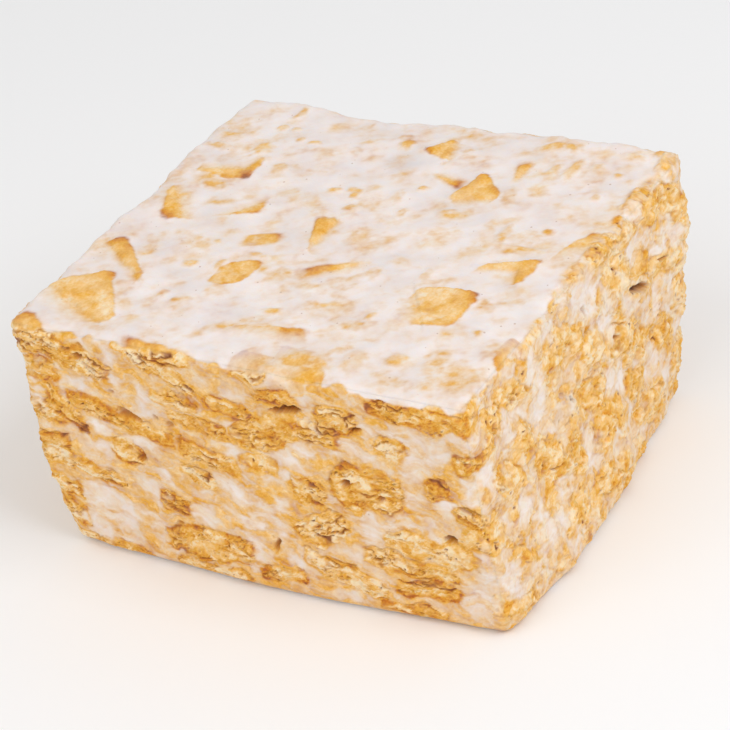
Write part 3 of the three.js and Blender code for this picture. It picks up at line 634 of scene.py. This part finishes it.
# Pressed squares: middle, width, height, turn and how deep in the film they lie.
FOOT_SQUARES = []
for row in range(ROWS):
    foot_draw = draws(3301 + 17 * row)
    for column in range(COLUMNS):
        FOOT_SQUARES.append((
            (column + 0.2 + 0.6 * next(foot_draw)) * PITCH_ACROSS,
            (row + 0.2 + 0.6 * next(foot_draw)) * PITCH_DOWN,
            (0.55 + 0.45 * next(foot_draw)) * SQUARE,
            (0.5 + 0.45 * next(foot_draw)) * SQUARE,
            -50 + 100 * next(foot_draw),
            0.05 + 0.35 * next(foot_draw),
        ))


def dress_foot(place):
    """The make-up of the flat foot: no relief, and a film whose thickness is that over the
    shallowest square, each a rounded square at its own turn."""
    u = place[:, 0] + HALF[0] + 0.5 * noise(place, 2.4, 205, 2)
    v = place[:, 1] + HALF[1] + 0.5 * noise(place, 2.4, 206, 2)
    over = -FOOT_FILM + 0.25 * noise(place, 4.0, 207, 2)
    for middle_u, middle_v, width, height, turn, sunk in FOOT_SQUARES:
        along, aside = turned(u - middle_u, v - middle_v, turn)
        ring = outline(2 * along / width, 2 * aside / height, PRESSED)
        over = np.maximum(over, -sunk - 3.0 * np.clip(ring - 0.9, 0, None))
    film = np.clip(-over + 0.1 * noise(place, 1.2, 208, 2), 0, 1.5)
    toast = np.clip(0.45 + 0.2 * noise(place, 2.0, 209, 2), 0, 1)
    return np.zeros(len(place)), film, toast, np.zeros(len(place))


# ---------------------------------------------------------------------------
# The skin. Six closed pieces of toasted crumb and set marshmallow, one for each
# face of the block. Two share one form at their edge, and each goes on a little
# below the other, so no seam opens between them.

EDGE_RADIUS = 1.8
ROUND = math.radians(62)  # how far a face goes on round its edges
TUCK = 0.7  # how far it dips under the next one past their shared edge
RUN_OVER = 2.6  # how far down the cuts the film's ragged border reaches
EDGE_CRUMB, EDGE_REACH = 0.55, 2.2  # how far crumb stands out along the edges, and how far in


def rounded_face(axis, sign, steps):
    """A grid over one face of the box and round its edges. Along either direction the arc length past
    the flat becomes an angle, arc / radius, and the outward direction is (tan of one angle, tan of
    the other, 1) made a unit. Returns the points, the outward directions and how far each point
    lies past the 45 degree line that the next face shares."""
    across = [k for k in range(3) if k != axis]
    lines = []
    for k, step in zip(across, steps):
        half = HALF[k] - EDGE_RADIUS + EDGE_RADIUS * ROUND
        lines.append(np.linspace(-half, half, int(round(2 * half / step)) + 1))
    arcs = np.meshgrid(*lines, indexing="ij")
    out = np.zeros(arcs[0].shape + (3,))
    place = np.zeros_like(out)
    angles = []
    for k, arc in zip(across, arcs):
        flat = np.clip(arc, EDGE_RADIUS - HALF[k], HALF[k] - EDGE_RADIUS)
        angles.append((arc - flat) / EDGE_RADIUS)
        out[..., k] = np.tan(angles[-1])
        place[..., k] = flat
    out[..., axis] = sign
    out /= np.linalg.norm(out, axis=-1, keepdims=True)
    place[..., axis] = sign * (HALF[axis] - EDGE_RADIUS)
    place += EDGE_RADIUS * out
    place[..., 2] += HEIGHT / 2
    past = np.maximum(abs(angles[0]), abs(angles[1])) - math.pi / 4
    return place, out, past


def dressed(place, out, margin):
    """Relief and make-up everywhere: the top's where the surface looks up, the foot's where it
    looks down and the cut's between. Noise that fades with the distance from the top's edge moves
    the border, so that the film runs a little down the cuts in places and leaves the edge bare in
    others. Along the far half of the right edge a push that fades the same way keeps it bare."""
    ragged = out[:, 2] + 0.75 * np.exp(-margin / RUN_OVER) * noise(place, 3.0, 301, 2)
    ragged -= 0.85 * np.exp(-(HALF[0] - place[:, 0]) / 2.4) * smooth(-16, 2, place[:, 1])
    up = smooth(0.42, 0.7, ragged)
    down = smooth(-0.72, -0.86, out[:, 2])
    layers = []
    for weight, dress in ((up, dress_top), (down, dress_foot), (1 - up - down, dress_cut)):
        picked = np.nonzero(weight > 0)[0]
        values = np.zeros((4, len(place)))
        if len(picked):
            values[:, picked] = np.stack(dress(place[picked]))
        layers.append(weight * values)
    return sum(layers)


def face_points(axis, sign, steps):
    """A face's grid in millimetres and its make-up. The rounded box goes through cut_form and moves
    out by the relief, with noise added that fades away from the edges and all of it fading at the
    foot. Past the shared edge it dips under the next face, and it stays above the floor."""
    place, out, past = rounded_face(axis, sign, steps)
    shape = place.shape[:2]
    flat_place, flat_out = place.reshape(-1, 3), out.reshape(-1, 3)
    points = cut_form(flat_place)
    # How far in from the sides and how far down from the top each point lies.
    inwards = (HALF - abs(flat_place - np.array([0, 0, HALF[2]])))[:, :2]
    down = np.clip(HEIGHT - flat_place[:, 2], 0, None)
    relief, film, toast, gap = dressed(points, flat_out, np.maximum(inwards.min(-1), down))
    # Along the edges round the top and between the cuts, pieces stick out or have broken away.
    to_edge = np.sort(np.column_stack([inwards, down]), -1)[:, 1]
    relief += EDGE_CRUMB * np.exp(-to_edge / EDGE_REACH) * (noise(flat_place, 3.6, 310, 3) - 0.1)
    relief *= smooth(0.0, 1.6, flat_place[:, 2])
    relief -= TUCK * smooth(0.02, 0.27, past.reshape(-1))
    points += relief[:, None] * flat_out
    points[:, 2] = np.maximum(points[:, 2], 0)
    return points.reshape(shape + (3,)), np.stack([film, toast, gap], -1)


def make_face(name, axis, sign, steps, material):
    """One closed piece: the face's grid, and a fan from its rim to the block's middle. Sides are
    turned so that faces point outwards."""
    points, make_up = face_points(axis, sign, steps)
    rows, columns = points.shape[:2]
    index = np.arange(rows * columns).reshape(rows, columns)
    quads = np.stack([index[:-1, :-1], index[1:, :-1], index[1:, 1:], index[:-1, 1:]], -1).reshape(-1, 4)
    rim = np.concatenate([index[:-1, 0], index[-1, :-1], index[:0:-1, -1], index[0, :0:-1]])
    middle = rows * columns
    fan = np.stack([np.roll(rim, -1), rim, np.full(len(rim), middle)], -1)
    if sign * (-1 if axis == 1 else 1) < 0:
        quads, fan = quads[:, ::-1], fan[:, ::-1]
    vertices = np.concatenate([points.reshape(-1, 3), [[0, 0, HEIGHT / 2]]]) * MM
    mesh = bpy.data.meshes.new(name)
    mesh.from_pydata(vertices, [], quads.tolist() + fan.tolist())
    mesh.shade_smooth()
    colours = np.ones((len(mesh.vertices), 4), np.float32)
    colours[:-1, :3] = make_up
    colours[-1, :3] = 0
    attribute = mesh.color_attributes.new("make_up", "FLOAT_COLOR", "POINT")
    attribute.data.foreach_set("color", colours.ravel())
    mesh.materials.append(material)
    piece = bpy.data.objects.new(name, mesh)
    bpy.context.scene.collection.objects.link(piece)
    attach(piece, "root")
    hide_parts("cereal_treat")


def linear(code):
    """An sRGB hex colour as linear red, green, blue and alpha: c / 12.92 in the dark, and above it
    ((c + 0.055) / 1.055) to the power 2.4."""
    parts = [int(code[i:i + 2], 16) / 255 for i in (1, 3, 5)]
    return tuple(c / 12.92 if c <= 0.04045 else ((c + 0.055) / 1.055) ** 2.4 for c in parts) + (1.0,)


def add_node(tree, kind, settings=None, links=None):
    """One node of that kind. A setting is a property, an input by its name or number, or the stops
    of a colour ramp. A link names an input and the output that feeds it."""
    node = tree.nodes.new(kind)
    for key, value in (settings or {}).items():
        if key == "stops":
            band = node.color_ramp
            while len(band.elements) < len(value):
                band.elements.new(0.5)
            for element, (position, code) in zip(band.elements, value):
                element.position = position
                element.color = linear(code)
        elif isinstance(key, int) or key in node.inputs:
            node.inputs[key].default_value = value
        else:
            setattr(node, key, value)
    for key, source in (links or {}).items():
        tree.links.new(source, node.inputs[key])
    return node


HIDING_FILM = 0.42  # mm of marshmallow, which lets about a third of the cereal's colour through
# Millimetres from one to the next. The crumb's real grain of 0.1 to 0.2 mm is too fine to show in
# the render, so it is drawn two to three times as coarse.
GRAIN, GRIT, CLOUD, SPECK = 0.45, 0.32, 7.0, 1.6
CRUMB = [
    (0.0, "#FFE5BC"), (0.2, "#FACC86"), (0.4, "#EFB244"),
    (0.6, "#DE931E"), (0.8, "#C26C10"), (1.0, "#924C14"),
]
# Painted shade in cracks and gaps: brown, going to nearly black brown where they are deep.
PAINTED_GAP_SHADE = [(0.3, "#A9622A"), (0.6, "#8A4A1C"), (1.0, "#43200B")]
MARSHMALLOW = [(0.35, "#F5EDEC"), (0.7, "#E8E0DF")]
THIN_MARSHMALLOW = "#CDBDA9"
COOL_WHITE, COOL_PATCH = "#CDCFDA", (-3.6 * MM, 22.6 * MM, 43.0 * MM)
SPECK_BROWN = "#A8754A"
BARE_ROUGHNESS, FILM_GLOSS = 0.72, 0.3  # of dry crumb, and what a thick film takes off it
GRIT_HEIGHT = 0.12 * MM


def toasted_cereal_in_marshmallow():
    """Graham dough, baked, broken and pressed, under melted marshmallow that has set. The crumb is
    matt, pale yellow to brown as it was toasted, with painted shade making it brown in its cracks and
    nearly black in its gaps.
    The marshmallow is a pinkish white with a satin gloss, and the eye sees the cereal through it: what
    shows falls off as exp(-film / HIDING_FILM), with both a little translucent below that."""
    material = bpy.data.materials.new("toasted_cereal_in_marshmallow")
    material.use_nodes = True
    tree = material.node_tree
    tree.nodes.clear()
    add = partial(add_node, tree)
    math_kind, mix_kind, noise_kind = "ShaderNodeMath", "ShaderNodeMix", "ShaderNodeTexNoise"
    object_at = add("ShaderNodeTexCoord").outputs["Object"]
    make_up = add("ShaderNodeAttribute", {"attribute_name": "make_up"})
    parts = add("ShaderNodeSeparateColor", links={"Color": make_up.outputs["Color"]})
    film, toast, gap = parts.outputs[0], parts.outputs[1], parts.outputs[2]

    # Crumb: its toast varies from grain to grain.
    grain = add(noise_kind, {"Scale": 1 / (GRAIN * MM), "Detail": 3}, {"Vector": object_at})
    vary = add(math_kind, {"operation": "MULTIPLY_ADD", 1: 0.4, 2: -0.2}, {0: grain.outputs["Fac"]})
    tone = add(math_kind, {"operation": "ADD"}, {0: toast, 1: vary.outputs[0]})
    crumb = add("ShaderNodeValToRGB", {"stops": CRUMB}, {"Fac": tone.outputs[0]})
    # Painted shade: cracks are painted brown where shallow, and a gap nearly black brown in its depth.
    depth = add("ShaderNodeValToRGB", {"stops": PAINTED_GAP_SHADE}, {"Fac": gap})
    gap_darkening = add(math_kind, {"operation": "MULTIPLY", 1: 1.5, "use_clamp": True}, {0: gap})
    cereal = add(mix_kind, {"data_type": "RGBA"},
                 {0: gap_darkening.outputs[0], 6: crumb.outputs["Color"], 7: depth.outputs["Color"]})

    # How much the film hides: 1 - exp(-film / HIDING_FILM).
    fade = add(math_kind, {"operation": "MULTIPLY", 1: -1 / HIDING_FILM}, {0: film})
    shown = add(math_kind, {"operation": "EXPONENT"}, {0: fade.outputs[0]})
    hidden = add(math_kind, {"operation": "SUBTRACT", 0: 1.0, "use_clamp": True}, {1: shown.outputs[0]})
    share = hidden.outputs[0]
    # Marshmallow: pinkish white, a little greyer in clouds, and beige from the fat where it is thin.
    cloud = add(noise_kind, {"Scale": 1 / (CLOUD * MM), "Detail": 2}, {"Vector": object_at})
    white = add("ShaderNodeValToRGB", {"stops": MARSHMALLOW}, {"Fac": cloud.outputs["Fac"]})
    body = add(math_kind, {"operation": "MULTIPLY", 1: 1.25, "use_clamp": True}, {0: share})
    tinted = add(mix_kind, {"data_type": "RGBA", 6: linear(THIN_MARSHMALLOW)},
                 {0: body.outputs[0], 7: white.outputs["Color"]})
    # One patch of the film on the top, about 6 mm across, set clearer and so looks cooler.
    patch_far = add("ShaderNodeVectorMath", {"operation": "DISTANCE", 1: COOL_PATCH}, {0: object_at})
    patch = add("ShaderNodeMapRange", {
        "interpolation_type": "SMOOTHSTEP", "From Min": 4.6 * MM, "From Max": 1.2 * MM, "To Max": 0.45,
    }, {"Value": patch_far.outputs["Value"]})
    marshmallow = add(mix_kind, {"data_type": "RGBA", 7: linear(COOL_WHITE)},
                      {0: patch.outputs[0], 6: tinted.outputs[2]})
    filmed = add(mix_kind, {"data_type": "RGBA"},
                 {0: share, 6: cereal.outputs[2], 7: marshmallow.outputs[2]})

    # Specks of brown crumb caught in the film, of a size drawn for each.
    speck = add("ShaderNodeTexVoronoi", {"Scale": 1 / (SPECK * MM)}, {"Vector": object_at})
    speck_lot = add("ShaderNodeSeparateColor", links={"Color": speck.outputs["Color"]})
    over_lot = add(math_kind, {"operation": "SUBTRACT", 1: 0.45}, {0: speck_lot.outputs[0]})
    speck_size = add(math_kind, {"operation": "MULTIPLY", 1: 0.22}, {0: over_lot.outputs[0]})
    spot = add(math_kind, {"operation": "LESS_THAN"},
               {0: speck.outputs["Distance"], 1: speck_size.outputs[0]})
    in_film = add(math_kind, {"operation": "MULTIPLY"}, {0: spot.outputs[0], 1: share})
    speck_share = add(math_kind, {"operation": "MULTIPLY", 1: 0.55}, {0: in_film.outputs[0]})
    colour = add(mix_kind, {"data_type": "RGBA", 7: linear(SPECK_BROWN)},
                 {0: speck_share.outputs[0], 6: filmed.outputs[2]})

    # Satin where filmed and matt where bare, and the crumb's grit fades under the film.
    gloss = add(math_kind, {"operation": "MULTIPLY", 1: FILM_GLOSS}, {0: share})
    rough = add(math_kind, {"operation": "SUBTRACT", 0: BARE_ROUGHNESS}, {1: gloss.outputs[0]})
    grit = add(noise_kind, {"Scale": 1 / (GRIT * MM), "Detail": 3}, {"Vector": object_at})
    filled = add(math_kind, {"operation": "MULTIPLY", 1: 0.7}, {0: share})
    bare = add(math_kind, {"operation": "SUBTRACT", 0: 1.0}, {1: filled.outputs[0]})
    height = add(math_kind, {"operation": "MULTIPLY"}, {0: grit.outputs["Fac"], 1: bare.outputs[0]})
    bump = add("ShaderNodeBump", {"Strength": 0.7, "Distance": GRIT_HEIGHT}, {"Height": height.outputs[0]})
    shader = add("ShaderNodeBsdfPrincipled", {
        "IOR": 1.45, "Subsurface Weight": 0.25, "Subsurface Radius": (1.0, 0.75, 0.5),
        "Subsurface Scale": 0.6 * MM,
    }, {"Base Color": colour.outputs[2], "Roughness": rough.outputs[0], "Normal": bump.outputs[0]})
    add("ShaderNodeOutputMaterial", links={"Surface": shader.outputs[0]})
    return material


treat_finish = toasted_cereal_in_marshmallow()
# Millimetres between the grids' points: along and up the cuts, and both ways on the top and foot.
SIDE_STEPS = (0.24, 0.17)
TOP_STEPS = (0.255, 0.255)
FOOT_STEPS = (0.8, 0.8)
for name, axis, sign, steps in (
    ("top_film", 2, 1, TOP_STEPS), ("front_cut", 1, -1, SIDE_STEPS), ("right_cut", 0, 1, SIDE_STEPS),
    ("back_cut", 1, 1, SIDE_STEPS), ("left_cut", 0, -1, SIDE_STEPS), ("tray_side", 2, -1, FOOT_STEPS),
):
    make_face(name, axis, sign, steps, treat_finish)

# ---------------------------------------------------------------------------
# The set. A plain pale floor, soft light from large lamps, and the camera at
# the photo's viewing angle, slightly rolled.

FLOOR_HALF, FLOOR_LEVEL = 3.0, -0.0002  # just below the foot, so that the two don't flicker
floor_mesh = bpy.data.meshes.new("floor")
floor_corners = [
    (x * FLOOR_HALF, y * FLOOR_HALF, FLOOR_LEVEL) for x, y in ((-1, -1), (1, -1), (1, 1), (-1, 1))
]
floor_mesh.from_pydata(floor_corners, [], [(0, 1, 2, 3)])
floor = bpy.data.objects.new("floor", floor_mesh)
bpy.context.scene.collection.objects.link(floor)
# Matt white paper, so that only the lamps and the treat's own shade show on it.
floor_finish = bpy.data.materials.new("pale_floor")
floor_finish.use_nodes = True
paper = floor_finish.node_tree.nodes["Principled BSDF"].inputs
paper["Base Color"].default_value = linear("#FAF9F8")
paper["Roughness"].default_value = 0.9
floor_mesh.materials.append(floor_finish)

world = bpy.data.worlds.new("studio")
world.use_nodes = True
sky = world.node_tree.nodes["Background"].inputs
sky["Color"].default_value = linear("#FFFFFF")
sky["Strength"].default_value = 0.645
bpy.context.scene.world = world
bpy.context.scene.view_settings.view_transform = "Standard"

VIEW_AZIMUTH, VIEW_ELEVATION, VIEW_ROLL = (math.radians(a) for a in (33.71, 32.07, -8.87))
VIEW_DISTANCE = 0.5
LENS = 157.2
AIM_RIGHT, AIM_UP, AIM_HEIGHT = -1.22 * MM, -2.28 * MM, 22 * MM

back = Vector((math.sin(VIEW_AZIMUTH) * math.cos(VIEW_ELEVATION),
               -math.cos(VIEW_AZIMUTH) * math.cos(VIEW_ELEVATION), math.sin(VIEW_ELEVATION)))
level_right = Vector((math.cos(VIEW_AZIMUTH), math.sin(VIEW_AZIMUTH), 0))
level_up = back.cross(level_right)
right = level_right * math.cos(VIEW_ROLL) + level_up * math.sin(VIEW_ROLL)
up = level_up * math.cos(VIEW_ROLL) - level_right * math.sin(VIEW_ROLL)
aim = Vector((0, 0, AIM_HEIGHT)) + level_right * AIM_RIGHT + level_up * AIM_UP
camera_data = bpy.data.cameras.new("camera")
camera_data.lens = LENS
camera_data.sensor_width = 36
camera = bpy.data.objects.new("camera", camera_data)
turn = Matrix((right, up, back)).transposed().to_4x4()
turn.translation = aim + back * VIEW_DISTANCE
camera.matrix_world = turn
bpy.context.scene.collection.objects.link(camera)
bpy.context.scene.camera = camera


def add_lamp(name, azimuth, elevation, distance, size, watts, colour):
    """A square lamp facing the treat's middle: its direction is (sin a cos e, -cos a cos e, sin e)
    for the azimuth a and the elevation e, in degrees. The size and the distance are in metres."""
    data = bpy.data.lights.new(name, "AREA")
    data.size = size
    data.energy = watts
    data.color = linear(colour)[:3]
    lamp = bpy.data.objects.new(name, data)
    a, e = math.radians(azimuth), math.radians(elevation)
    way = Vector((math.sin(a) * math.cos(e), -math.cos(a) * math.cos(e), math.sin(e)))
    lamp.location = Vector((0, 0, AIM_HEIGHT)) + way * distance
    lamp.rotation_euler = way.to_track_quat("Z", "Y").to_euler()
    bpy.context.scene.collection.objects.link(lamp)


add_lamp("key", azimuth=80, elevation=46, distance=0.7, size=0.4, watts=1.78, colour="#F2F7FF")
add_lamp("fill", azimuth=-10, elevation=44, distance=0.8, size=0.6, watts=1.3, colour="#FFFFFF")
